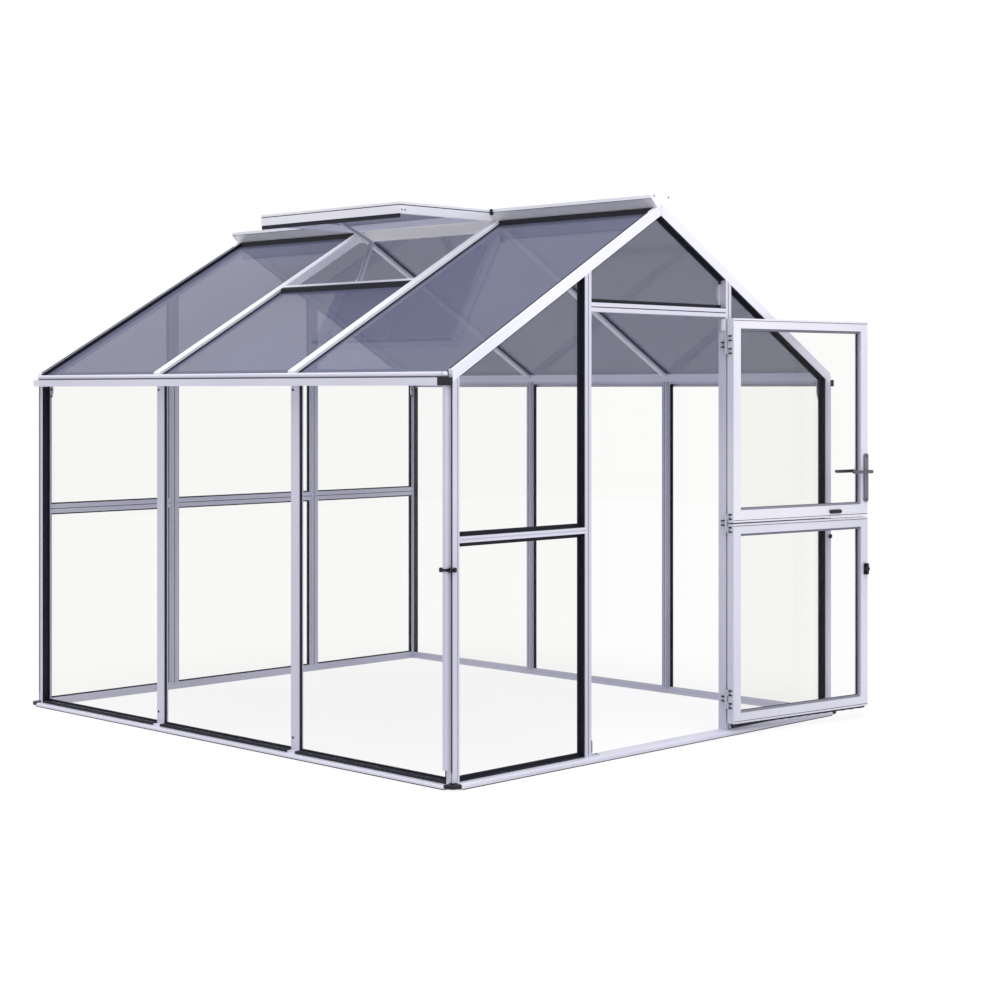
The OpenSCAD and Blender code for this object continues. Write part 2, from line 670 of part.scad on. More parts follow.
// ---- seals on the roof ----
// Strips along both edges of every panel, along the ridge's foot, and round the vent's sash.
module seal_strip(y, w, head, top) along_y(y, y + w)
    roof_layer(half_w, head, top, panel_top - eps);
module slope_seals(has_vent) for (i = [0:bays - 1]) {
    over_vent = has_vent && i == vent_bay;
    head = over_vent ? vent_foot_x + vent_bar_w + seat : ridge_foot;
    near = bar_y(i) + bar_cap_w / 2 - bar_seal_in;
    far = bar_y(i + 1) - bar_cap_w / 2 + bar_seal_in - bar_seal_w;
    if (i == 0) seal_strip(rafter_top_w + seat, rafter_seal_w, head, groove_d);
    else seal_strip(near, bar_seal_w, head, bar_cap_t + seat);
    if (i == bays - 1)
        seal_strip(frame_l - rafter_top_w - seat - rafter_seal_w, rafter_seal_w, head, groove_d);
    else seal_strip(far, bar_seal_w, head, bar_cap_t + seat);
    y0 = i == 0 ? rafter_top_w + rafter_seal_w + 2 * seat : near + bar_seal_w + seat;
    y1 = i == bays - 1 ? frame_l - rafter_top_w - rafter_seal_w - 2 * seat : far - seat;
    along_y(y0, y1) roof_layer(head + (over_vent ? vent_seal_w : ridge_seal_w), head, seat, panel_top - eps);
}
module roof_gaskets() color([0.1, 0.1, 0.12]) {
    slope_seals(true);
    mirror([1, 0, 0]) slope_seals(false);
    on_sash() {
        sash_layer(sash_h - sash_edge - sash_seal_h + seat, sash_h - sash_edge - seat, 1, 4 - seat);
        translate([vent_len - 6, sash_y0 + 2, -sash_flap_h]) cube([4, sash_l - 4, sash_flap_h - seat]);
    }
}

// ---- brackets ----
module foot_angle() {
    cube([bracket_t, 20, 52]);
    cube([44, 20, bracket_t]);
}
module post_brackets() color("silver") {
    // Angles that tie the foot of the left door post and the head of the right one
    translate([-post_in, 8, sill_h]) foot_angle();
    translate([post_in - bracket_t, 6, head_h - 62]) cube([bracket_t, 28, 60]);
    // Gusset inside the head of the right door post
    translate([post_in - gusset_w - seat, pane_set + pane_t + 2, head_h + 2 * head_w])
        cube([gusset_w, bracket_t, 60]);
    // Gussets inside the corner posts' heads, up to the eave beams
    both_ends() both_sides() along_y(corner_w + 1, corner_w + 1 + bracket_t)
        translate([-corner_in + seat, 0]) polygon([
            [0, eave_h - 62], [9, eave_h - 62], [gusset_w, eave_h - 30], [gusset_w, beam_under - seat],
            [0, beam_under - seat]]);
}

// ---- door ----
// Both leaves are drawn shut and then swung about the hinge line.
module swung() {
    translate([hinge_x, hinge_y, 0]) rotate([0, 0, door_open]) translate([-hinge_x, -hinge_y, 0]) children();
}
module leaf_layer(y0, y1) swung() gable_layer(y0, y1) children();
module leaf_outline(z0, z1, g) {
    translate([-leaf_half + g, z0 + g]) square([leaf_w - 2 * g, z1 - z0 - 2 * g]);
}
// Opening of a leaf, with its own height of rail at the foot
module leaf_light(z0, z1, foot, g) {
    translate([-leaf_half + stile_w + g, z0 + foot + g])
        square([leaf_w - 2 * (stile_w + g), z1 - z0 - foot - stile_w - 2 * g]);
}
module leaf_frame(z0, z1, foot) leaf_layer(0, leaf_d) difference() {
    leaf_outline(z0, z1, 0);
    leaf_light(z0, z1, foot, 0);
}
module leaf_pane(z0, z1, foot) leaf_layer(leaf_pane_y, leaf_pane_y + pane_t) leaf_light(z0, z1, foot, seat);
module leaf_gasket(z0, z1, foot) for (y = [leaf_pane_y - gasket_t - seat, leaf_pane_y + pane_t + seat])
    leaf_layer(y, y + gasket_t) difference() {
        leaf_light(z0, z1, foot, seat);
        leaf_light(z0, z1, foot, leaf_bead_w);
    }
module upper_door_frame() color("lavender") leaf_frame(upper_z0, upper_z1, split_rail_w);
module lower_door_frame() color("lavender") leaf_frame(lower_z0, lower_z1, stile_w);
module upper_door_pane() color([0.9, 0.93, 0.95, 0.35]) leaf_pane(upper_z0, upper_z1, split_rail_w);
module lower_door_pane() color([0.9, 0.93, 0.95, 0.35]) leaf_pane(lower_z0, lower_z1, stile_w);
module upper_door_gasket() color([0.1, 0.1, 0.12]) leaf_gasket(upper_z0, upper_z1, split_rail_w);
module lower_door_gasket() color([0.1, 0.1, 0.12]) {
    leaf_gasket(lower_z0, lower_z1, stile_w);
    // Brush strip under the leaf
    leaf_layer(leaf_d / 2 - sweep_t / 2, leaf_d / 2 + sweep_t / 2)
        translate([-leaf_half, lower_z0 - sweep_h]) square([leaf_w, sweep_h - seat]);
}

// Hinges: the post's knuckle carries the pin, and the leaves' knuckles above and below it turn on it.
module knuckle(z) translate([hinge_x, hinge_y, z]) cylinder(h = knuckle_h, r = knuckle_r, $fn = 48);
module post_knuckle(z) {
    knuckle(z - knuckle_h / 2);
    pin_l = 3 * knuckle_h;
    translate([hinge_x, hinge_y, z - pin_l / 2]) cylinder(h = pin_l, r = pin_r, $fn = 48);
    difference() {
        translate([hinge_x, hinge_y + 1, z - knuckle_h / 2])
            cube([post_in - hinge_x, plate_l, knuckle_h]);
        translate([hinge_x - 1, hinge_y + plate_l - 3, z]) rotate([0, 90, 0])
            cylinder(h = 3, r = screw_r, $fn = 32);
    }
}
module leaf_knuckle(z) swung() difference() {
    union() {
        knuckle(z);
        translate([leaf_half, hinge_y + 1, z]) cube([hinge_x - leaf_half + 1, plate_l, knuckle_h]);
    }
    translate([hinge_x, hinge_y, z - 1]) cylinder(h = knuckle_h + 2, r = pin_r + pin_play, $fn = 48);
}
module post_hinges() color("silver") for (z = [top_hinge_z, split_h, foot_hinge_z]) post_knuckle(z);
function over_post(z) = z + knuckle_h / 2 + knuckle_gap;
function under_post(z) = z - 3 * knuckle_h / 2 - knuckle_gap;
module upper_door_hinges() color("silver") {
    leaf_knuckle(over_post(top_hinge_z));
    leaf_knuckle(under_post(top_hinge_z));
    leaf_knuckle(over_post(split_h));
}
module lower_door_hinges() color("silver") {
    leaf_knuckle(under_post(split_h));
    leaf_knuckle(over_post(foot_hinge_z));
    leaf_knuckle(under_post(foot_hinge_z));
}

// Handle: a long plate on each face of the upper leaf and a lever on each plate.
module spindle(y0, len, r) translate([handle_x, y0, lever_z]) rotate([-90, 0, 0])
    cylinder(h = len, r = r, $fn = 48);
module handle_plates() color("silver") swung() difference() {
    for (y = [-plate_t, leaf_d]) along_y(y, y + plate_t) translate([handle_x, handle_z]) union() {
        square([plate_w, plate_h - plate_w], center = true);
        for (z = [-1, 1]) translate([0, z * (plate_h - plate_w) / 2]) circle(plate_w / 2, $fn = 48);
    }
    spindle(-plate_t - 1, leaf_d + 2 * plate_t + 2, neck_r + neck_play);
}
module lever(y) along_y(y, y + lever_t) translate([handle_x, lever_z]) {
    translate([0, -lever_t / 2]) square([lever_reach - lever_t / 2, lever_t]);
    for (x = [0, lever_reach - lever_t / 2]) translate([x, 0]) circle(lever_t / 2, $fn = 32);
}
module lever_handle() color("silver") swung() {
    spindle(-plate_t - lever_stand, lever_stand + plate_t - 1, neck_r);
    spindle(leaf_d + 1, lever_stand + plate_t - 1, neck_r);
    lever(-plate_t - lever_stand);
    lever(leaf_d + plate_t + lever_stand - lever_t);
}
module door_bolt() color([0.12, 0.12, 0.14]) leaf_layer(leaf_d, leaf_d + bolt_t)
    translate([-leaf_half + bolt_x, upper_z0 + split_rail_w / 2]) union() {
        square([bolt_l - bolt_h, bolt_h], center = true);
        for (x = [-1, 1]) translate([x * (bolt_l - bolt_h) / 2, 0]) circle(bolt_h / 2, $fn = 32);
    }
module door_catch() color([0.12, 0.12, 0.14]) {
    leaf_layer(leaf_d, leaf_d + catch_t / 2) translate([-leaf_half + 2, catch_z - catch_h / 2])
        square([catch_w, catch_h]);
    leaf_layer(leaf_d + catch_t / 2 - eps, leaf_d + catch_t)
        translate([-leaf_half + 2 + catch_w / 2, catch_z]) union() {
            circle(catch_w / 2, $fn = 32);
            square([catch_w / 2, catch_h], center = true);
        }
}

front_sill();
rear_sill();
left_sill();
right_sill();
base_corner_plugs();
corner_posts();
left_wall_posts();
right_wall_posts();
door_posts();
door_head();
front_mid_rails();
rear_gable_posts();
rear_mid_rails();
left_gutter();
right_gutter();
gutter_outlets();
gutter_end_caps();
downpipes();
downpipe_clips();
left_rafters();
right_rafters();
left_roof_bars();
right_roof_bars();
ridge_beam();
ridge_cap();
left_wall_panes();
right_wall_panes();
front_panes();
rear_panes();
wall_gaskets();
gable_gaskets();
roof_gaskets();
post_brackets();
left_roof_panels();
right_roof_panels();
vent_sill_bar();
vent_sash();
vent_panel();
vent_stay();
upper_door_frame();
upper_door_pane();
upper_door_gasket();
upper_door_hinges();
lower_door_frame();
lower_door_pane();
lower_door_gasket();
lower_door_hinges();
post_hinges();
handle_plates();
lever_handle();
door_bolt();
door_catch();
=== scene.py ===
"""Apex greenhouse: aluminium frame, clear polycarbonate walls, tinted twin-wall roof, roof vent, stable door.

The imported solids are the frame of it. Around them this adds the finishes and the fixings, seals and fittings
that are put on as such a house is assembled, in the order in which it goes up: base, posts, glazing, eaves,
roof, vent and door. Everything is in metres, +X to the right of the door, +Y into the house and +Z up.
"""

import json
import math

import bpy
import numpy as np
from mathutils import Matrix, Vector


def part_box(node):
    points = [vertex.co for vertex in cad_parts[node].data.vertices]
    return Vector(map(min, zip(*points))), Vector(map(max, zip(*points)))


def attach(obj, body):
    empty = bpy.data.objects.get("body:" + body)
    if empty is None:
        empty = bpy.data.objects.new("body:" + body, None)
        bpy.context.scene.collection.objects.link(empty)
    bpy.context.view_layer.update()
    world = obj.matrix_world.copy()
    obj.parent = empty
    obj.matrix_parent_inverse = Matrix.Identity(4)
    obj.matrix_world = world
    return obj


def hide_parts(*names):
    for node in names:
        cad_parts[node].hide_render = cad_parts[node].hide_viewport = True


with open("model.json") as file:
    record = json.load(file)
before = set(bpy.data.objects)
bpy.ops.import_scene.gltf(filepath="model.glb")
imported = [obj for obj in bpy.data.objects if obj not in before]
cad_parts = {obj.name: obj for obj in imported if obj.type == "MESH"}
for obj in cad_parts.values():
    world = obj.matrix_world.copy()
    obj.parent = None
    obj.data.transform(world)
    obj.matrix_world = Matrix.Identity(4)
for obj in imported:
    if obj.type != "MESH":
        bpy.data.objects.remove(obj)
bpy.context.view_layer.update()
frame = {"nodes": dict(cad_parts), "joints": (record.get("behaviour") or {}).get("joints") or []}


# ---- the yard it stands in ---------------------------------------------------------------------------------
# A plain pale studio: a floor under the base, soft light from all round, and soft high lamps over the door's
# corner and the roof. The floor shows white but still takes the house's shadow.

def linear(hex_colour):
    """sRGB hex, such as #d9d8e2, as linear red, green, blue and full cover."""
    srgb = np.array([int(hex_colour[i:i + 2], 16) for i in (1, 3, 5)]) / 255
    return [*np.where(srgb <= 0.04045, srgb / 12.92, ((srgb + 0.055) / 1.055) ** 2.4).tolist(), 1.0]


def add_node(tree, kind, settings):
    """Adds a node. Each setting is an input, by name or number, or a property; a socket given is linked."""
    made = tree.nodes.new("ShaderNode" + kind)
    for name, value in settings.items():
        entry = made.inputs[name] if isinstance(name, int) else made.inputs.get(name)
        if entry is None:
            setattr(made, name, value)
        elif isinstance(value, bpy.types.NodeSocket):
            tree.links.new(value, entry)
        else:
            entry.default_value = value
    return made


def new_material(name):
    """An empty node material and its tree."""
    material = bpy.data.materials.new(name)
    material.use_nodes = True
    material.node_tree.nodes.clear()
    return material, material.node_tree


def seen_ray(tree):
    """1 for the rays that show a backdrop as it is: to the camera, through a sheet or off a gloss."""
    rays = add_node(tree, "LightPath", {})
    shown = add_node(tree, "Math", {"operation": "MAXIMUM", 0: rays.outputs["Is Camera Ray"],
                                    1: rays.outputs["Is Transmission Ray"]})
    return add_node(tree, "Math", {"operation": "MAXIMUM", 0: shown.outputs[0],
                                   1: rays.outputs["Is Glossy Ray"]}).outputs[0]


scene = bpy.context.scene
scene.view_settings.view_transform = "Standard"

camera_data = bpy.data.cameras.new("camera")
camera_data.lens = 71.0
camera_data.sensor_width = 36.0
camera_data.shift_y = -0.1092
camera = bpy.data.objects.new("camera", camera_data)
camera.location = (-6.2828, -5.2583, 1.480)
camera.rotation_euler = (math.radians(90), 0, math.radians(-45.4))
scene.collection.objects.link(camera)
scene.camera = camera

world = bpy.data.worlds.new("studio")
world.use_nodes = True
scene.world = world
sky = world.node_tree
sky.nodes.clear()
soft = add_node(sky, "Background", {"Color": linear("#f3f3fa"), "Strength": 0.68})
white = add_node(sky, "Background", {"Color": (1, 1, 1, 1), "Strength": 1.0})
either = add_node(sky, "MixShader", {0: seen_ray(sky), 1: soft.outputs[0], 2: white.outputs[0]})
add_node(sky, "OutputWorld", {"Surface": either.outputs[0]})

floor_reach = 14.0
floor_mesh = bpy.data.meshes.new("floor")
floor_mesh.from_pydata([(-floor_reach, -floor_reach, 0), (floor_reach, -floor_reach, 0),
                        (floor_reach, floor_reach, 0), (-floor_reach, floor_reach, 0)], [], [(0, 1, 2, 3)])
floor = bpy.data.objects.new("floor", floor_mesh)
scene.collection.objects.link(floor)


def white_floor():
    """Matt floor. To the eye and in reflections it is white, less a share of the shadow that falls on it."""
    material, tree = new_material("pale_floor")
    matt = add_node(tree, "BsdfDiffuse", {"Color": linear("#c8c8cd")})
    shadow_share = add_node(tree, "BsdfDiffuse", {"Color": (0.12, 0.12, 0.12, 1)})
    glow = add_node(tree, "Emission", {"Color": (1, 1, 1, 1), "Strength": 0.86})
    shown = add_node(tree, "AddShader", {0: glow.outputs[0], 1: shadow_share.outputs[0]})
    mixed = add_node(tree, "MixShader", {0: seen_ray(tree), 1: matt.outputs[0], 2: shown.outputs[0]})
    add_node(tree, "OutputMaterial", {"Surface": mixed.outputs[0]})
    return material


floor_mesh.materials.append(white_floor())


def aim(lamp, place, target):
    """Puts a lamp at a place, shining at a target."""
    lamp.location = place
    lamp.rotation_euler = (Vector(target) - Vector(place)).to_track_quat("-Z", "Y").to_euler()
    scene.collection.objects.link(lamp)


over_roof = bpy.data.lights.new("over_roof", "SUN")
over_roof.energy = 2.2
over_roof.angle = math.radians(50)
aim(bpy.data.objects.new("over_roof", over_roof), (-0.6, -0.25, 3), (0, 0, 0))

door_corner = bpy.data.lights.new("door_corner", "AREA")
door_corner.shape = "SQUARE"
door_corner.size = 2.4
door_corner.energy = 85
door_corner_lamp = bpy.data.objects.new("door_corner", door_corner)
door_corner_lamp.visible_camera = False
door_corner_lamp.visible_glossy = False
door_corner_lamp.visible_transmission = False
aim(door_corner_lamp, (-0.9, -3.2, 3.9), (0.2, 0, 2.1))


# ---- base --------------------------------------------------------------------------------------------------
# Four round-nosed sills of extruded aluminium, mill-cut and silver anodised, lie on the ground and meet at
# moulded nylon plugs. Each sill is a drawn bar, so its finish runs in fine lines along its length.

def silver_anodised(name, turned, along, dull, bright):
    """Anodised aluminium extrusion: satin, dull to bright in tone, with faint die lines along the bar.

    turned is a rotation that brings the bar onto an axis, and along is that axis: 0 for X, 1 for Y, 2 for Z.
    """
    material, tree = new_material("silver_anodised_" + name)
    place = add_node(tree, "TexCoord", {}).outputs["Object"]
    laid = add_node(tree, "Mapping", {"Vector": place, "Rotation": turned}).outputs[0]
    squeeze = [1.0, 1.0, 1.0]
    squeeze[along] = 0.01
    lines = add_node(tree, "Mapping", {"Vector": laid, "Scale": squeeze}).outputs[0]
    # Die lines are about 0.3 mm apart; here 2.5 mm, so that they show
    streaks = add_node(tree, "TexNoise", {"Vector": lines, "Scale": 400.0, "Detail": 3.0, "Roughness": 0.6})
    # Slow change of tone along a bar, about a metre from light to dark
    cloud = add_node(tree, "TexNoise", {"Vector": place, "Scale": 1.1, "Detail": 1.0})
    mix = add_node(tree, "MapRange", {"Value": streaks.outputs[0], "To Min": -0.22, "To Max": 0.22})
    mix = add_node(tree, "Math", {"operation": "ADD", 0: mix.outputs[0], 1: cloud.outputs[0]})
    tone = add_node(tree, "ValToRGB", {"Fac": mix.outputs[0]})
    tone.color_ramp.elements[0].position = 0.32
    tone.color_ramp.elements[1].position = 0.68
    tone.color_ramp.elements[0].color = linear(dull)
    tone.color_ramp.elements[1].color = linear(bright)
    rough = add_node(tree, "MapRange", {"Value": streaks.outputs[0], "To Min": 0.30, "To Max": 0.48})
    bump = add_node(tree, "Bump", {"Height": streaks.outputs[0], "Strength": 0.12, "Distance": 0.0002})
    metal = add_node(tree, "BsdfPrincipled", {"Base Color": tone.outputs[0], "Metallic": 0.25,
                                              "Roughness": rough.outputs[0], "Normal": bump.outputs[0]})
    add_node(tree, "OutputMaterial", {"Surface": metal.outputs[0]})
    return material


def finish(material, *names):
    """Gives CAD nodes their material."""
    for name in names:
        mesh = frame["nodes"][name].data
        mesh.materials.clear()
        mesh.materials.append(material)


level = (0, 0, 0)
bar_across = silver_anodised("rail", level, 0, "#cccbd9", "#dad9e5")
bar_inward = silver_anodised("eave", level, 1, "#d3d2e0", "#dfdeea")
bar_upright = silver_anodised("post", level, 2, "#c4c3d2", "#d3d2df")
finish(bar_across, "front_sill", "rear_sill")
finish(bar_inward, "left_sill", "right_sill")


def mottled(tree, specks, dull, bright, detail=2.0):
    """A mottle of so many specks to the metre, and the tone that it carries from dull to bright."""
    place = add_node(tree, "TexCoord", {}).outputs["Object"]
    mottle = add_node(tree, "TexNoise", {"Vector": place, "Scale": specks, "Detail": detail}).outputs[0]
    tone = add_node(tree, "MixRGB", {"Fac": mottle, "Color1": linear(dull), "Color2": linear(bright)})
    return mottle, tone.outputs[0]


def black_nylon():
    """Moulded nylon, fine spark-eroded grain: near black with a blue cast, dull, with a soft sheen."""
    material, tree = new_material("moulded_black_nylon")
    # The mould's grain is about 0.1 mm; here 1.1 mm, so that it shows
    grain, tone = mottled(tree, 900.0, "#0c0c13", "#1b1b24")
    bump = add_node(tree, "Bump", {"Height": grain, "Strength": 0.2, "Distance": 0.0002})
    shell = add_node(tree, "BsdfPrincipled", {"Base Color": tone, "Roughness": 0.5, "Normal": bump.outputs[0],
                                              "IOR": 1.53, "Specular IOR Level": 0.3})
    add_node(tree, "OutputMaterial", {"Surface": shell.outputs[0]})
    return material


nylon = black_nylon()
finish(nylon, "base_corner_plugs")


# ---- posts and rails ---------------------------------------------------------------------------------------
# Corner posts, gable posts and the posts along the walls are the same silver extrusion stood on end, screwed
# to the sills and to the eaves. Rails between the gable posts carry the joints of the panes.

finish(bar_upright, "corner_posts", "left_wall_posts", "right_wall_posts", "door_posts", "rear_gable_posts")
finish(bar_across, "door_head", "front_mid_rails", "rear_mid_rails")


def pressed_aluminium():
    """Pressed and tumbled aluminium fittings: grey, a little brighter in gloss than the bars."""
    material, tree = new_material("pressed_aluminium")
    # Tumbling leaves marks of about 0.5 mm; here 2 mm, so that they show
    marks, tone = mottled(tree, 500.0, "#a9aab8", "#c3c4d0", 3.0)
    rough = add_node(tree, "MapRange", {"Value": marks, "To Min": 0.28, "To Max": 0.46})
    metal = add_node(tree, "BsdfPrincipled", {"Base Color": tone, "Metallic": 0.5,
                                              "Roughness": rough.outputs[0]})
    add_node(tree, "OutputMaterial", {"Surface": metal.outputs[0]})
    return material


pressed = pressed_aluminium()
finish(pressed, "post_brackets")


# ---- screws in the posts -----------------------------------------------------------------------------------
# Pan-head steel screws with a cross recess, coloured dark grey all over: painted shade, for the shade in their
# recesses and round their heads. Two hold each gusset inside a corner post's head, and one fixes the head and
# the foot of each wall post to the eave and the sill.

def tube_faces(copies, rings, around):
    """Faces of equal tubes: one between each four neighbours on the rings, and one across each end."""
    index = np.arange(copies * rings * around).reshape(copies, rings, around)
    here, beyond = index[:, :-1], index[:, 1:]
    sides = np.stack([here, np.roll(here, -1, 2), np.roll(beyond, -1, 2), beyond], -1)
    return sides.reshape(-1, 4).tolist() + index[:, 0, ::-1].tolist() + index[:, -1].tolist()


def put_piece(name, tubes, material, body, smooth=False):
    """Makes tubes, an array of copies by rings by points, into a piece with its finish, body and slot."""
    mesh = bpy.data.meshes.new(name)
    mesh.from_pydata(tubes.reshape(-1, 3).tolist(), [], tube_faces(*tubes.shape[:3]))
    mesh.materials.append(material)
    if smooth:
        mesh.shade_smooth()
    piece = bpy.data.objects.new(name, mesh)
    scene.collection.objects.link(piece)
    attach(piece, body)
    return piece


def screw_heads(places, facing, radius):
    """Pan heads facing one way, as rings from the seat up and over the crown, then down into the cross recess.

    The crown rises to 0.6 of the radius. The recess is a star, 0.34 + 0.2 cos(4 angle) of the head's radius.
    """
    angle = np.linspace(0, 2 * np.pi, 24, endpoint=False)
    star = 0.34 + 0.2 * np.cos(4 * angle)
    even = np.ones_like(angle)
    reach = np.stack([even, even, 0.93 * even, 0.75 * even, star, 0.85 * star, 0.2 * star]) * radius
    rise = np.array([0, 0.2, 0.4, 0.54, 0.6, 0.2, 0.15]) * radius
    up = np.array(facing, float) / np.linalg.norm(facing)
    across = np.cross((0, 0, 1) if abs(up[2]) < 0.7 else (0, 1, 0), up)
    across /= np.linalg.norm(across)
    beside = np.cross(up, across)
    head = (reach * np.cos(angle))[..., None] * across + (reach * np.sin(angle))[..., None] * beside \
        + rise[:, None, None] * up
    return np.array(places, float)[:, None, None] + head


def dark_shaded_steel():
    """Steel screws, dark grey with a dull metal gloss: painted shade, for the shade in their recesses."""
    material, tree = new_material("dark_steel_painted_shade")
    # Random blotches of tone, 1.4 mm across
    _, tone = mottled(tree, 700.0, "#23232c", "#3b3b47")
    metal = add_node(tree, "BsdfPrincipled", {"Base Color": tone, "Metallic": 0.6, "Roughness": 0.45})
    add_node(tree, "OutputMaterial", {"Surface": metal.outputs[0]})
    return material


screw_steel = dark_shaded_steel()
frame_screw_r = 0.005
eave_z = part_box("left_gutter")[0].z
house_y1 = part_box("corner_posts")[1].y
post_w, gusset_gap, gusset_t = 0.035, 0.001, 0.003
gusset_face = post_w + gusset_gap + gusset_t
gusset_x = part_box("post_brackets")[0].x + 0.009
gusset_drops = (0.014, 0.046)
for name, y, inward in (("front", gusset_face, 1), ("rear", house_y1 - gusset_face, -1)):
    put_piece(name + "_gusset_screws",
              screw_heads([(side * gusset_x, y, eave_z - drop) for side in (-1, 1) for drop in gusset_drops],
                          (0, inward, 0), frame_screw_r),
              screw_steel, "house")

wall_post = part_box("left_wall_posts")
cover_w, screw_inset = 0.050, 0.012
screw_ys = (wall_post[0].y + cover_w - screw_inset, wall_post[1].y - screw_inset)
screw_zs = (0.075, eave_z - 0.016)
for side, name in ((1, "left"), (-1, "right")):
    put_piece(name + "_post_screws",
              screw_heads([(side * wall_post[0].x, y, z) for y in screw_ys for z in screw_zs],
                          (-side, 0, 0), frame_screw_r),
              screw_steel, "house")


# ---- seals in the corner posts -----------------------------------------------------------------------------
# Each corner post has a channel down its outer side, filled by a rubber cord that the gable's cover presses
# on. The cord is D-shaped, extruded, and stops a little above the sill.

def carried(outline, starts, ends, outward):
    """An outline carried from each start to its end, across the run, with its second axis pointing outward."""
    starts, ends, outward = (np.atleast_2d(np.array(v, float)) for v in (starts, ends, outward))
    along = ends - starts
    along /= np.linalg.norm(along, axis=1, keepdims=True)
    outward = np.broadcast_to(outward, along.shape)
    across = np.cross(outward, along)
    section = outline[None, :, :1] * across[:, None] + outline[None, :, 1:] * outward[:, None]
    return np.stack([starts[:, None] + section, ends[:, None] + section], 1)


def d_section(width, height):
    """Half an ellipse over a flat foot: half the width times cos by the height times sin, over 0 to pi."""
    angle = np.linspace(0, np.pi, 9)
    return np.stack([width / 2 * np.cos(angle), height * np.sin(angle)], 1)


def slab_section(width, height):
    """A flat strip on its foot, with its upper edges eased by a tenth of its height."""
    half, ease = width / 2, 0.1 * height
    return np.array([(half, 0), (half, height - ease), (half - ease, height),
                     (ease - half, height), (-half, height - ease), (-half, 0)])


def glazing_rubber():
    """Extruded EPDM rubber: near black with a blue cast, matt, with a dull sheen."""
    material, tree = new_material("glazing_rubber")
    # Dust and talc lie in specks under a millimetre; here 2.5 mm, so that they show
    _, tone = mottled(tree, 400.0, "#0d0e19", "#1d1e2b")
    skin = add_node(tree, "BsdfPrincipled", {"Base Color": tone, "Roughness": 0.6, "Specular IOR Level": 0.3})
    add_node(tree, "OutputMaterial", {"Surface": skin.outputs[0]})
    return material


rubber = glazing_rubber()
channel_y, channel_depth = 0.0065, 0.0047
channel_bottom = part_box("corner_posts")[1].x - channel_depth
cord_foot, cord_head = 0.062, eave_z - 0.001
corners = [(side, y) for side in (-1, 1) for y in (channel_y, house_y1 - channel_y)]
put_piece("corner_post_cords",
          carried(d_section(0.0086, 0.0042),
                  [(side * channel_bottom, y, cord_foot) for side, y in corners],
                  [(side * channel_bottom, y, cord_head) for side, y in corners],
                  [(side, 0, 0) for side, _ in corners]),
          rubber, "house")


# ---- dark strips in the other channels and under the sills: painted shade ----------------------------------
# Thin dark rubber strips lie in the screw channels of the door's posts and head, and inside on the walls' and
# the rear gable's bars: painted shade, for the shade in those grooves. One along every sill's foot is painted
# shade under the sill's round nose, and those along the top of the gable rafters beside the sheets are painted
# shade, for the shadow line under the rafters' upper lip. Real rubber cords lie under the sheets' edges on the
# roof bars.

opening_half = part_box("door_head")[1].x
post_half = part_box("door_posts")[1].x
channel_x = (opening_half + post_half) / 2
channel_z = (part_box("door_head")[0].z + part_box("door_head")[1].z) / 2
groove_y = 0.003
sill_head, gable_post_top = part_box("front_sill")[1].z, 1.94
# Dark strips in the door posts' and head's screw channels: painted shade, for the shade inside the channels
put_piece("door_channel_shade_lines",
          carried(d_section(0.0036, 0.0014),
                  [(-channel_x, groove_y, sill_head), (channel_x, groove_y, sill_head),
                   (-opening_half, groove_y, channel_z)],
                  [(-channel_x, groove_y, gable_post_top), (channel_x, groove_y, gable_post_top),
                   (opening_half, groove_y, channel_z)], (0, -1, 0)),
          rubber, "house")

# Dark strips inside on the rear gable's and the walls' bars: painted shade, for the shade in their grooves
groove_shade_section = d_section(0.003, 0.0009)
rear_face, rail_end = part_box("rear_gable_posts")[0].y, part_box("rear_mid_rails")[1].x
rail_z = (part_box("rear_mid_rails")[0].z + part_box("rear_mid_rails")[1].z) / 2
rail_runs = ((-rail_end, -post_half), (-opening_half, opening_half), (post_half, rail_end))
put_piece("rear_groove_shade_lines",
          carried(groove_shade_section,
                  [(side * channel_x, rear_face, sill_head) for side in (-1, 1)]
                  + [(start, rear_face, rail_z) for start, _ in rail_runs],
                  [(side * channel_x, rear_face, gable_post_top) for side in (-1, 1)]
                  + [(end, rear_face, rail_z) for _, end in rail_runs], (0, -1, 0)),
          rubber, "house")

wall_lines = [(side, y) for side in (1, -1)
              for y in (wall_post[0].y + cover_w / 2, wall_post[1].y - cover_w / 2)]
put_piece("wall_groove_shade_lines",
          carried(groove_shade_section,
                  [(side * wall_post[1].x, y, sill_head) for side, y in wall_lines],
                  [(side * wall_post[1].x, y, wall_post[1].z) for side, y in wall_lines],
                  [(side, 0, 0) for side, _ in wall_lines]),
          rubber, "house")

side_sill, front_y, rear_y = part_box("left_sill"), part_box("front_sill")[0].y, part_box("rear_sill")[1].y
sill_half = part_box("front_sill")[1].x - 0.004
cord_z = 0.0019
# A dark strip along each sill's foot: painted shade, for the shade under the sill's round nose
put_piece("sill_foot_shade_lines",
          carried(d_section(0.0036, 0.0009),
                  [(-sill_half, front_y, cord_z), (-sill_half, rear_y, cord_z)]
                  + [(side * side_sill[0].x, side_sill[0].y, cord_z) for side in (1, -1)],
                  [(sill_half, front_y, cord_z), (sill_half, rear_y, cord_z)]
                  + [(side * side_sill[0].x, side_sill[1].y, cord_z) for side in (1, -1)],
                  [(0, -1, 0), (0, 1, 0), (-1, 0, 0), (1, 0, 0)]),
          rubber, "house")

pitch = math.radians(30)
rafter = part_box("left_rafters")
rafter_foot = rafter[1].z - (rafter[1].x - rafter[0].x) * math.tan(pitch)


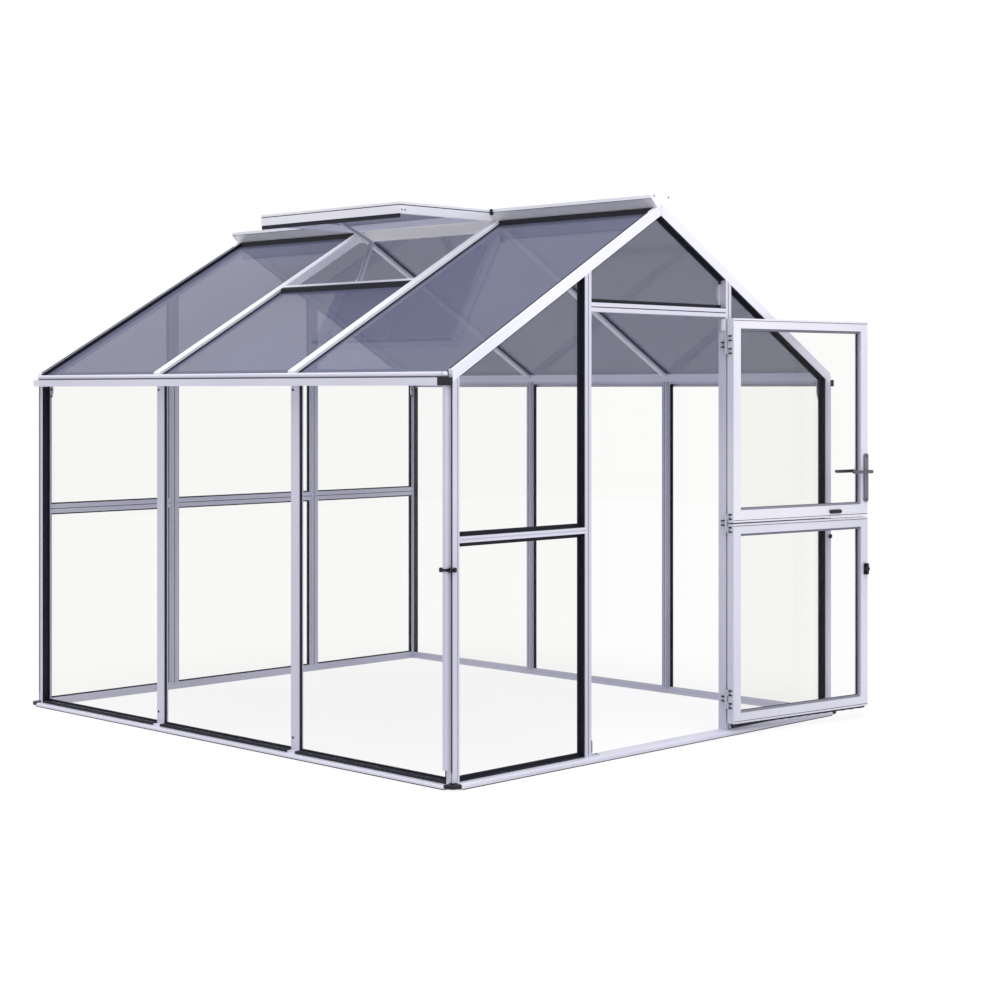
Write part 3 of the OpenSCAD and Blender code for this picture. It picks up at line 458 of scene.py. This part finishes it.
def slope_seals_and_shade_lines(name, runs, drop, section, way):
    """Dark rubber strips up the slopes, lying drop under the rafters' top: seals under the sheets, and painted
    shade lines along the rafters.

    A run is a side, a y and the two distances from the house's centre line between which the strip lies.
    """
    outward = np.array([(side * math.sin(pitch), 0, math.cos(pitch)) for side, *_ in runs])
    low, high = (np.array([(side * reach[end], y, rafter_foot + (-rafter[0].x - reach[end]) * math.tan(pitch))
                           for side, y, *reach in runs]) - drop * outward for end in (0, 1))
    put_piece(name, carried(section, low, high, way * outward), rubber, "house")


# Dark strips along the top of the gable rafters beside the sheets: painted shade, for the shadow line under
# the rafters' upper lip
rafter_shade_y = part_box("left_roof_panels")[0].y - 0.0036
rafter_shade_reach = (1.196, 0.066)
slope_seals_and_shade_lines("rafter_lip_shade_lines",
            [(side, y, *rafter_shade_reach) for side in (-1, 1)
             for y in (rafter_shade_y, house_y1 - rafter_shade_y)],
            0, d_section(0.006, 0.003), 1)
# Under the sheets a cord lies along both edges of each roof bar; beside the vent it ends at the sill bar
bar_edges = (0.9142, 0.9642, 1.8358, 1.8858)
sheet_cord_foot, sheet_cord_head, vent_foot = 1.150, 0.070, 0.640
slope_seals_and_shade_lines("under_sheet_cords",
            [(side, y, sheet_cord_foot, vent_foot if side < 0 and y in bar_edges[1:3] else sheet_cord_head)
             for side in (-1, 1) for y in bar_edges],
            0.026, d_section(0.004, 0.002), -1)


# ---- glazing -----------------------------------------------------------------------------------------------
# Sheets of clear polycarbonate 4 mm thick stand in black rubber gaskets that are pressed into the bars. The
# sheet is extruded, so it is glossy and flat but for slow waves along its length.

def light_let_in(tree, sheet, colour):
    """A sheet's shader for the eye; light on its way into the house passes through in a colour instead.

    Without this a solid sheet would throw a dark shadow over all that stands behind it.
    """
    open_way = add_node(tree, "BsdfTransparent", {"Color": linear(colour)})
    rays = add_node(tree, "LightPath", {})
    passing = add_node(tree, "Math", {"operation": "MAXIMUM", 0: rays.outputs["Is Shadow Ray"],
                                      1: rays.outputs["Is Diffuse Ray"]})
    return add_node(tree, "MixShader", {0: passing.outputs[0], 1: sheet.outputs[0], 2: open_way.outputs[0]})


def clear_polycarbonate():
    """Clear polycarbonate, extruded: glossy, takes a few hundredths of the light that goes through."""
    material, tree = new_material("clear_polycarbonate")
    place = add_node(tree, "TexCoord", {}).outputs["Object"]
    # Waves of the extruded sheet, about 0.8 m long
    wave = add_node(tree, "TexNoise", {"Vector": place, "Scale": 1.3, "Detail": 1.0})
    bump = add_node(tree, "Bump", {"Height": wave.outputs[0], "Strength": 0.02, "Distance": 0.001})
    # Its real IOR of 1.585 would veil it with the white studio; 1.12 keeps it clear, with a trace of gloss
    sheet = add_node(tree, "BsdfPrincipled", {"Base Color": linear("#fbfbfa"), "Roughness": 0.0, "IOR": 1.12,
                                              "Transmission Weight": 1.0, "Normal": bump.outputs[0]})
    add_node(tree, "OutputMaterial", {"Surface": light_let_in(tree, sheet, "#f6f6f7").outputs[0]})
    return material


finish(clear_polycarbonate(), "left_wall_panes", "right_wall_panes", "front_panes", "rear_panes",
       "upper_door_pane", "lower_door_pane")
finish(rubber, "wall_gaskets", "gable_gaskets", "roof_gaskets")


# ---- inner glazing beads -----------------------------------------------------------------------------------
# Inside, each fixed pane is held by narrow aluminium beads, mitred at the corners and snapped into the bars.
# They stop short of the seal's lip, which shows as a thin dark line.

def pane_outlines(name, flat, face):
    """The outlines of a node's panes: each pane's points on a face, in order round their middle.

    flat is the axis the pane is thin along, and face is 0 for its low side and 1 for its high side. Points
    that the mesh holds more than once count as one, so that a pane's faces belong together.
    """
    mesh = frame["nodes"][name].data
    places = np.round([vertex.co for vertex in mesh.vertices], 5)
    points, index = np.unique(places, axis=0, return_inverse=True)
    edges = index.ravel()[np.array([edge.vertices for edge in mesh.edges])]
    # Each pane's points take its lowest point's number: passed on along the edges, once for each point at most
    pane = np.arange(len(points))
    for _ in points:
        np.minimum.at(pane, edges, pane[edges].min(1, keepdims=True))
    outlines = []
    for number in np.unique(pane):
        outline = points[pane == number]
        face_at = (outline[:, flat].min(), outline[:, flat].max())[face]
        outline = np.delete(outline[abs(outline[:, flat] - face_at) < 1e-4], flat, axis=1)
        bearing = np.arctan2(*(outline - outline.mean(0)).T[::-1])
        outlines.append((outline[np.argsort(bearing)], face_at))
    return outlines


def mitred_strips(outline, inner, outer):
    """An outline moved in by inner and by outer, along its corners' bisectors.

    A corner's bisector is the sum of its two sides' inward normals over 1 plus their product.
    """
    ahead = np.roll(outline, -1, 0) - outline
    ahead /= np.linalg.norm(ahead, axis=1, keepdims=True)
    after = np.stack([-ahead[:, 1], ahead[:, 0]], 1)
    before = np.roll(after, 1, 0)
    bisector = (after + before) / (1 + (after * before).sum(1, keepdims=True))
    return outline + inner * bisector, outline + outer * bisector


bead_thick, bead_seat, bead_overlap = 0.0025, 0.0003, 0.0022


def inner_beads(name, flat, face, reach):
    """Beads lying on a node's panes, from over the pane's edge to reach inside it, mitred at every corner."""
    beads = []
    outward = (-1, 1)[face]
    for outline, face_at in pane_outlines(name, flat, face):
        edge, foot = mitred_strips(outline, -bead_overlap, reach)
        low, high = face_at + bead_seat * outward, face_at + bead_thick * outward
        ring = np.stack([np.insert(row, flat, at, axis=1) for row, at in
                         ((edge, low), (foot, low), (foot, high), (edge, high))], 1)
        strips = np.stack([ring, np.roll(ring, -1, 0)], 1)
        # The ring's order is reversed where needed, so that the faces point outwards
        beads.append(strips if (flat == 0) == (outward > 0) else strips[:, :, ::-1])
    return np.concatenate(beads)


for name, flat, face, reach in (("front", 1, 1, 0.0095), ("rear", 1, 0, 0.0095),
                                ("left_wall", 0, 1, 0.009), ("right_wall", 0, 0, 0.009)):
    put_piece(name + "_inner_beads", inner_beads(name + "_panes", flat, face, reach),
              bar_across if flat else bar_upright, "house")


# ---- eaves -------------------------------------------------------------------------------------------------
# The gutter is one long box extrusion with a round bead over it, which a plugged end carries on beside the
# rafters. It drains into a black outlet at the front and is closed by a pale cap at the back.

finish(bar_inward, "left_gutter", "right_gutter")
finish(nylon, "gutter_outlets")

gutter_x, outlet_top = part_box("right_gutter")[1].x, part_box("gutter_outlets")[1].z
bead_r = 0.0095
bead_x, bead_z = gutter_x - bead_r, outlet_top + 0.003 + bead_r
bead_joint, bead_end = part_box("right_gutter")[0].y + 0.0003, 0.012


def domed_rod(start, end, radius, dome):
    """A round rod whose far end is domed: radius cos t at dome sin t further on, with t up to 87 degrees."""
    start, end = np.array(start, float), np.array(end, float)
    along = (end - start) / np.linalg.norm(end - start)
    across = np.cross((0, 0, 1), along)
    over = np.cross(along, across)
    fall = np.linspace(0, np.pi / 2 * 0.97, 6)
    ring_r = np.concatenate([[radius], radius * np.cos(fall)])[:, None]
    travel = np.concatenate([[0], np.linalg.norm(end - start) - dome + dome * np.sin(fall)])
    angle = np.linspace(0, 2 * np.pi, 24, endpoint=False)
    ring = (ring_r * np.cos(angle))[..., None] * across + (ring_r * np.sin(angle))[..., None] * over
    return start + travel[:, None, None] * along + ring


put_piece("gutter_bead_ends",
          np.stack([domed_rod((x, bead_joint, bead_z), (x, bead_end, bead_z), bead_r, 0.006)
                    for x in (-bead_x, bead_x)]),
          bar_inward, "house", smooth=True)

seal_x, seal_z = gutter_x - 0.0035, outlet_top + 0.0002
seal_starts, seal_ends = ([(side * seal_x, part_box("right_gutter")[end].y, seal_z) for side in (-1, 1)]
                          for end in (0, 1))
put_piece("gutter_drip_seals", carried(slab_section(0.0045, 0.0026), seal_starts, seal_ends, (0, 0, 1)),
          rubber, "house")


def pale_plastic():
    """Moulded polypropylene cap: off white, soft gloss."""
    material, tree = new_material("moulded_pale_plastic")
    # Flow marks of the moulding, 3.3 mm across
    _, tone = mottled(tree, 300.0, "#dcdce2", "#e8e8ee")
    shell = add_node(tree, "BsdfPrincipled", {"Base Color": tone, "Roughness": 0.4, "IOR": 1.49})
    add_node(tree, "OutputMaterial", {"Surface": shell.outputs[0]})
    return material


pale = pale_plastic()
finish(pale, "gutter_end_caps")


# ---- downpipes ---------------------------------------------------------------------------------------------
# A slim square downpipe hangs beside each front corner post. A black nylon clip grips it at mid height: two
# pads squeeze the pipe, and a third hooks into the post's channel.

finish(bar_upright, "downpipes")
finish(nylon, "downpipe_clips")


def squared_off(wave):
    """A sine or cosine with its peaks broadened: its sign times its size to the power 0.4."""
    return np.sign(wave) * np.abs(wave) ** 0.4


def rounded_pads(centres, half):
    """Moulded pads: ellipsoids of the given half sizes, with every sine and cosine squared off."""
    around = np.linspace(0, 2 * np.pi, 24, endpoint=False)
    height = np.linspace(-0.47, 0.47, 9)[:, None] * np.pi
    ring = squared_off(np.cos(height))
    x, y = ring * squared_off(np.cos(around)), ring * squared_off(np.sin(around))
    z = np.broadcast_to(squared_off(np.sin(height)), x.shape)
    return np.array(centres, float)[:, None, None] + np.stack([x, y, z], -1) * np.array(half)


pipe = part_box("downpipes")
clip_z = (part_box("downpipe_clips")[0].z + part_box("downpipe_clips")[1].z) / 2
# Behind the pipe, before it, and in the post's channel
pad_places = ((pipe[1].x - 0.0025, pipe[1].y + 0.0105), (pipe[1].x - 0.0155, pipe[0].y - 0.0085),
              (pipe[1].x - 0.0310, pipe[0].y - 0.0170))
put_piece("downpipe_clip_pads",
          rounded_pads([(side * x, y, clip_z) for side in (-1, 1) for x, y in pad_places],
                       (0.006, 0.0065, 0.009)),
          nylon, "house", smooth=True)


# ---- roof --------------------------------------------------------------------------------------------------
# Gable rafters and roof bars lie on the slope and carry tinted twin-wall sheets. A folded cap closes the
# ridge, with a screw at each side of its front end; a dark strip under each of its lips is painted shade, for
# the shadow line beneath the lip.

# The rafters, roof bars, ridge cap, vent sill bar and sash take paler tones than the walls' bars of the same
# aluminium: painted light, for the light that falls on the roof from above
for side, turn in (("left", pitch), ("right", -pitch)):
    finish(silver_anodised(side + "_rafter", (0, turn, 0), 0, "#dddde8", "#eaeaf2"), side + "_rafters")
    finish(silver_anodised(side + "_roof_bar", (0, turn, 0), 0, "#ececf3", "#f6f6fa"), side + "_roof_bars")
bar_ridge = silver_anodised("ridge", level, 1, "#e6e6ef", "#f1f1f7")
finish(bar_ridge, "ridge_cap", "vent_sill_bar", "vent_sash")
# The ridge beam's near-white tone is painted light: its web faces down into shade, and the tone draws it
# lighter
finish(silver_anodised("ridge_beam", level, 1, "#f0efef", "#f7f6f5"), "ridge_beam")


def tinted_twin_wall():
    """Twin-wall polycarbonate tinted grey-blue: glossy skins over fine ribs, and a blue haze in the walls."""
    material, tree = new_material("tinted_twin_wall_polycarbonate")
    place = add_node(tree, "TexCoord", {}).outputs["Object"]
    # Ribs run down the slope, 10 mm apart; here 31 mm, so that they show
    ribs = add_node(tree, "TexWave", {"Vector": place, "wave_type": "BANDS", "bands_direction": "Y",
                                      "Scale": 10.0, "Distortion": 0.0})
    bump = add_node(tree, "Bump", {"Height": ribs.outputs[0], "Strength": 0.02, "Distance": 0.0005})
    skins = add_node(tree, "BsdfPrincipled", {"Base Color": linear("#c6c9d8"), "Roughness": 0.02, "IOR": 1.22,
                                              "Transmission Weight": 1.0, "Normal": bump.outputs[0]})
    # The tint drifts slowly, over about a metre
    _, tint = mottled(tree, 0.9, "#616375", "#74768c", 1.0)
    haze = add_node(tree, "BsdfDiffuse", {"Color": tint})
    sheet = add_node(tree, "MixShader", {0: 0.52, 1: skins.outputs[0], 2: haze.outputs[0]})
    add_node(tree, "OutputMaterial", {"Surface": light_let_in(tree, sheet, "#bfc1d0").outputs[0]})
    return material


finish(tinted_twin_wall(), "left_roof_panels", "right_roof_panels", "vent_panel")

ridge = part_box("ridge_cap")
lip_x, lip_foot, lip_inset = ridge[1].x - 0.0015, 2.2742, 0.003
lip_starts, lip_ends = ([(side * lip_x, y, lip_foot) for side in (-1, 1)]
                        for y in (ridge[0].y + lip_inset, ridge[1].y - lip_inset))
# A dark strip under each of the cap's lips: painted shade, for the shadow line beneath the lip
put_piece("ridge_lip_shade_lines", carried(d_section(0.003, 0.0016), lip_starts, lip_ends, (0, 0, -1)),
          rubber, "house")
small_screw_r = 0.0035
ridge_screw_x, ridge_screw_z = 0.046, 2.284
put_piece("ridge_end_screws",
          screw_heads([(side * ridge_screw_x, ridge[0].y, ridge_screw_z) for side in (-1, 1)], (0, -1, 0),
                      small_screw_r),
          screw_steel, "house")


# ---- roof vent ---------------------------------------------------------------------------------------------
# The vent's sash is screwed up from four rails, turns on plastic-capped pins under the ridge's lip, and
# stands open on a jointed stay.

finish(pressed, "vent_stay")
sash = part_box("vent_sash")
sash_screw_insets, sash_screw_z = (0.012, 0.030), 2.2515
put_piece("sash_corner_screws",
          screw_heads([(sash[0].x + inset, sash[0].y, sash_screw_z) for inset in sash_screw_insets],
                      (0, -1, 0), small_screw_r),
          screw_steel, "house")
cap_half = (0.009, 0.004, 0.014)
put_piece("vent_hinge_caps",
          rounded_pads([(sash[1].x - 0.001, y, sash[1].z - 0.010)
                        for y in (sash[0].y - cap_half[1], sash[1].y + cap_half[1])], cap_half),
          nylon, "house", smooth=True)


# ---- door leaves -------------------------------------------------------------------------------------------
# Each leaf is a welded frame of a brighter anodised bar, with a clear pane held by a soft grey wedge and a
# thin rubber lip on each side. The upper leaf's bar is paler than the lower's: painted light, for the light
# from above. A dark strip along its head and its foot, inside, is painted shade, for the shadow line of the
# frame's rebate.

# The upper leaf is paler than the lower: painted light, for the light from above
finish(silver_anodised("upper_leaf", level, 2, "#dad9e4", "#e7e6ee"), "upper_door_frame")
finish(silver_anodised("lower_leaf", level, 2, "#cfceda", "#dddce6"), "lower_door_frame")


def soft_grey_wedge():
    """Soft grey vinyl glazing wedge: matt, with a faint mottle."""
    material, tree = new_material("grey_vinyl_wedge")
    # Mottle of the extruded vinyl, 2.9 mm across
    _, tone = mottled(tree, 350.0, "#7d7d88", "#8d8d98")
    skin = add_node(tree, "BsdfPrincipled", {"Base Color": tone, "Roughness": 0.6, "Specular IOR Level": 0.3})
    add_node(tree, "OutputMaterial", {"Surface": skin.outputs[0]})
    return material


wedge = soft_grey_wedge()
hinge = next(joint for joint in frame["joints"] if joint["name"] == "upper_door_hinge")
hinge_x, hinge_y, _ = hinge["pos_m"]
leaf_half, leaf_d, stile_w = 0.4205, 0.038, 0.043


def opened(points):
    """Points of a shut leaf as they lie with it open: turned about the hinge line as far as it has to shut."""
    turn = math.radians(-hinge["range_deg"][0])
    x, y = points[..., 0] - hinge_x, points[..., 1] - hinge_y
    return np.stack([hinge_x + x * math.cos(turn) - y * math.sin(turn),
                     hinge_y + x * math.sin(turn) + y * math.cos(turn), points[..., 2]], -1)


def pane_surrounds(light, width, height, inset):
    """Four strips round each face of a leaf's pane, set in from the frame's edge, with their crown outward.

    light is the opening's low x and z and its high x and z. The strips along x run through at the corners.
    """
    middle = inset + width / 2
    x0, z0, x1, z1 = np.add(light, (middle, middle, -middle, -middle))
    over = width / 2
    faces = []
    for y, facing in pane_faces:
        starts = [(x0 - over, y, z0), (x1, y, z0), (x1 + over, y, z1), (x0, y, z1)]
        ends = [(x1 + over, y, z0), (x1, y, z1), (x0 - over, y, z1), (x0, y, z0)]
        faces.append(carried(slab_section(width, height), starts, ends, (0, facing, 0)))
    return opened(np.concatenate(faces))


# Where the strips lie on the pane, and which way they face; the light is clear of the stiles by 0.3 mm
pane_faces = ((0.0223, 1), (0.0177, -1))
light_half = leaf_half - stile_w - 0.0003
wedge_w, lip_w, lip_gap = 0.009, 0.0012, 0.0002
rebate_line_half, rebate_line_inset = leaf_half - 0.002, 0.009
for leaf in ("upper_door", "lower_door"):
    pane, leaf_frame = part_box(leaf + "_pane"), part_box(leaf + "_frame")
    light = (-light_half, pane[0].z, light_half, pane[1].z)
    put_piece(leaf + "_glazing_bead", pane_surrounds(light, wedge_w, 0.005, 0), wedge, leaf)
    lips = put_piece(leaf + "_pane_lips", pane_surrounds(light, lip_w, 0.0022, wedge_w + lip_gap),
                     rubber, leaf)
    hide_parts(leaf + "_gasket")
    # A dark strip along the frame's head and foot, inside: painted shade, for the shadow line of the rebate
    rebate_line_zs = (leaf_frame[0].z + rebate_line_inset, leaf_frame[1].z - rebate_line_inset)
    put_piece(leaf + "_rebate_shade_lines",
              opened(carried(d_section(0.0022, 0.0009), [(-rebate_line_half, leaf_d, z) for z in rebate_line_zs],
                             [(rebate_line_half, leaf_d, z) for z in rebate_line_zs], (0, 1, 0))),
              rubber, leaf)

# Brush under the lower leaf: nylon bristles, 6 mm wide at the strip and 2 mm at their tips, in a ragged wave
strip_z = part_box("lower_door_frame")[0].z - 0.0003
brush_drop, tip_swing = 0.0112, 0.0012
tufts = 281
run = np.linspace(-leaf_half + 0.001, leaf_half - 0.001, tufts)
root = np.full(tufts, strip_z)
tip = root - brush_drop + tip_swing * np.sin(run * 1900) * np.sin(run * 310)
brush = np.stack([np.stack([run, np.full(tufts, leaf_d / 2 + off), z], -1)
                  for off, z in ((-0.003, root), (-0.001, tip), (0.001, tip), (0.003, root))], 1)[None]
put_piece("lower_door_brush", opened(brush), rubber, "lower_door")


# ---- hinges ------------------------------------------------------------------------------------------------
# Three pressed hinges. At each, the post's knuckle stands between two leaf knuckles; every knuckle has a
# nylon bush at each end, whose flange shows as a dark bar across its plate.

finish(pressed, "upper_door_hinges", "lower_door_hinges", "post_hinges")
knuckle_h, knuckle_gap = 0.027, 0.0005
step = knuckle_h + knuckle_gap
top_z, split_z, foot_z = 1.678, 0.912, 0.157
bush_half = (0.0025, 0.0125, 0.0032)
bush_off = knuckle_h / 2 - 0.004


def bushes(middles, x, y):
    """Bars at both ends of each knuckle whose middle height is given."""
    return rounded_pads([(x, y, z + way * bush_off) for z in middles for way in (-1, 1)], bush_half)


leaf_bush = (leaf_half + 0.0028, 0.0165)
post_bush = (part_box("post_hinges")[1].x - 0.0048, 0.0105)
put_piece("upper_door_bushes", opened(bushes((top_z + step, top_z - step, split_z + step), *leaf_bush)),
          nylon, "upper_door")
put_piece("lower_door_bushes", opened(bushes((split_z - step, foot_z + step, foot_z - step), *leaf_bush)),
          nylon, "lower_door")
put_piece("post_bushes", bushes((top_z, split_z, foot_z), *post_bush), nylon, "house")


# ---- closing pads and foot plate ---------------------------------------------------------------------------
# A shut leaf comes against two moulded pads: a black one at the foot of the post it closes on, and a pale one
# under the head on the hinge post. The foot pad stands on a small pressed plate screwed to the sill.

head_foot, sill_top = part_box("door_head")[0].z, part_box("door_posts")[0].z
foot_pad_half, head_pad_half = (0.003, 0.0095, 0.027), (0.0025, 0.011, 0.026)
put_piece("foot_closing_pad",
          rounded_pads([(-opening_half + foot_pad_half[0], 0.0085, sill_top + 0.037)], foot_pad_half),
          nylon, "house", smooth=True)
put_piece("head_closing_pad",
          rounded_pads([(opening_half - head_pad_half[0], 0.014, head_foot - 0.034)], head_pad_half),
          pale, "house", smooth=True)
plate_x, plate_end, plate_y = -opening_half + 0.0002, -opening_half + 0.052, 0.0105
foot_plate_t = 0.0025
put_piece("post_foot_plate",
          carried(slab_section(0.018, foot_plate_t), (plate_x, plate_y, sill_top),
                  (plate_end, plate_y, sill_top), (0, 0, 1)),
          pressed, "house")
put_piece("foot_plate_screw",
          screw_heads([(plate_end - 0.012, plate_y, sill_top + foot_plate_t)], (0, 0, 1), 0.004),
          screw_steel, "house")


# ---- handle, bolt and catch --------------------------------------------------------------------------------
# A long plate on each face of the upper leaf carries a lever; both are die-cast and satin plated. The flush
# bolt between the leaves and the catch that holds the lower leaf open are moulded nylon.

def satin_plated(name, dull, bright):
    """Die-cast zinc, satin plated: mid grey, clear broad gloss, very fine brush lines."""
    material, tree = new_material(name)
    place = add_node(tree, "TexCoord", {}).outputs["Object"]
    drawn_out = add_node(tree, "Mapping", {"Vector": place, "Scale": (1.0, 1.0, 0.05)})
    # Brush lines are about 0.1 mm apart; here 1.1 mm, so that they show
    brush_lines = add_node(tree, "TexNoise", {"Vector": drawn_out.outputs[0], "Scale": 900.0, "Detail": 2.0})
    tone = add_node(tree, "MixRGB", {"Fac": brush_lines.outputs[0], "Color1": linear(dull),
                                     "Color2": linear(bright)})
    metal = add_node(tree, "BsdfPrincipled", {"Base Color": tone.outputs[0], "Metallic": 0.7,
                                              "Roughness": 0.32})
    add_node(tree, "OutputMaterial", {"Surface": metal.outputs[0]})
    return material


finish(satin_plated("satin_plated_zinc", "#666877", "#7d7f8d"), "handle_plates")
finish(satin_plated("satin_plated_lever", "#474851", "#7b7c86"), "lever_handle")
finish(nylon, "door_bolt", "door_catch")
plate_low, plate_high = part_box("handle_plates")
handle_x, plate_t, handle_screw_r = -leaf_half + 0.015, 0.008, 0.0045
handle_screw_zs = (plate_low.z + screw_inset, plate_high.z - screw_inset)
put_piece("handle_screws",
          opened(np.concatenate([
              screw_heads([(handle_x, y, z) for z in handle_screw_zs], (0, facing, 0), handle_screw_r)
              for y, facing in ((leaf_d + plate_t, 1), (-plate_t, -1))])),
          screw_steel, "upper_door")
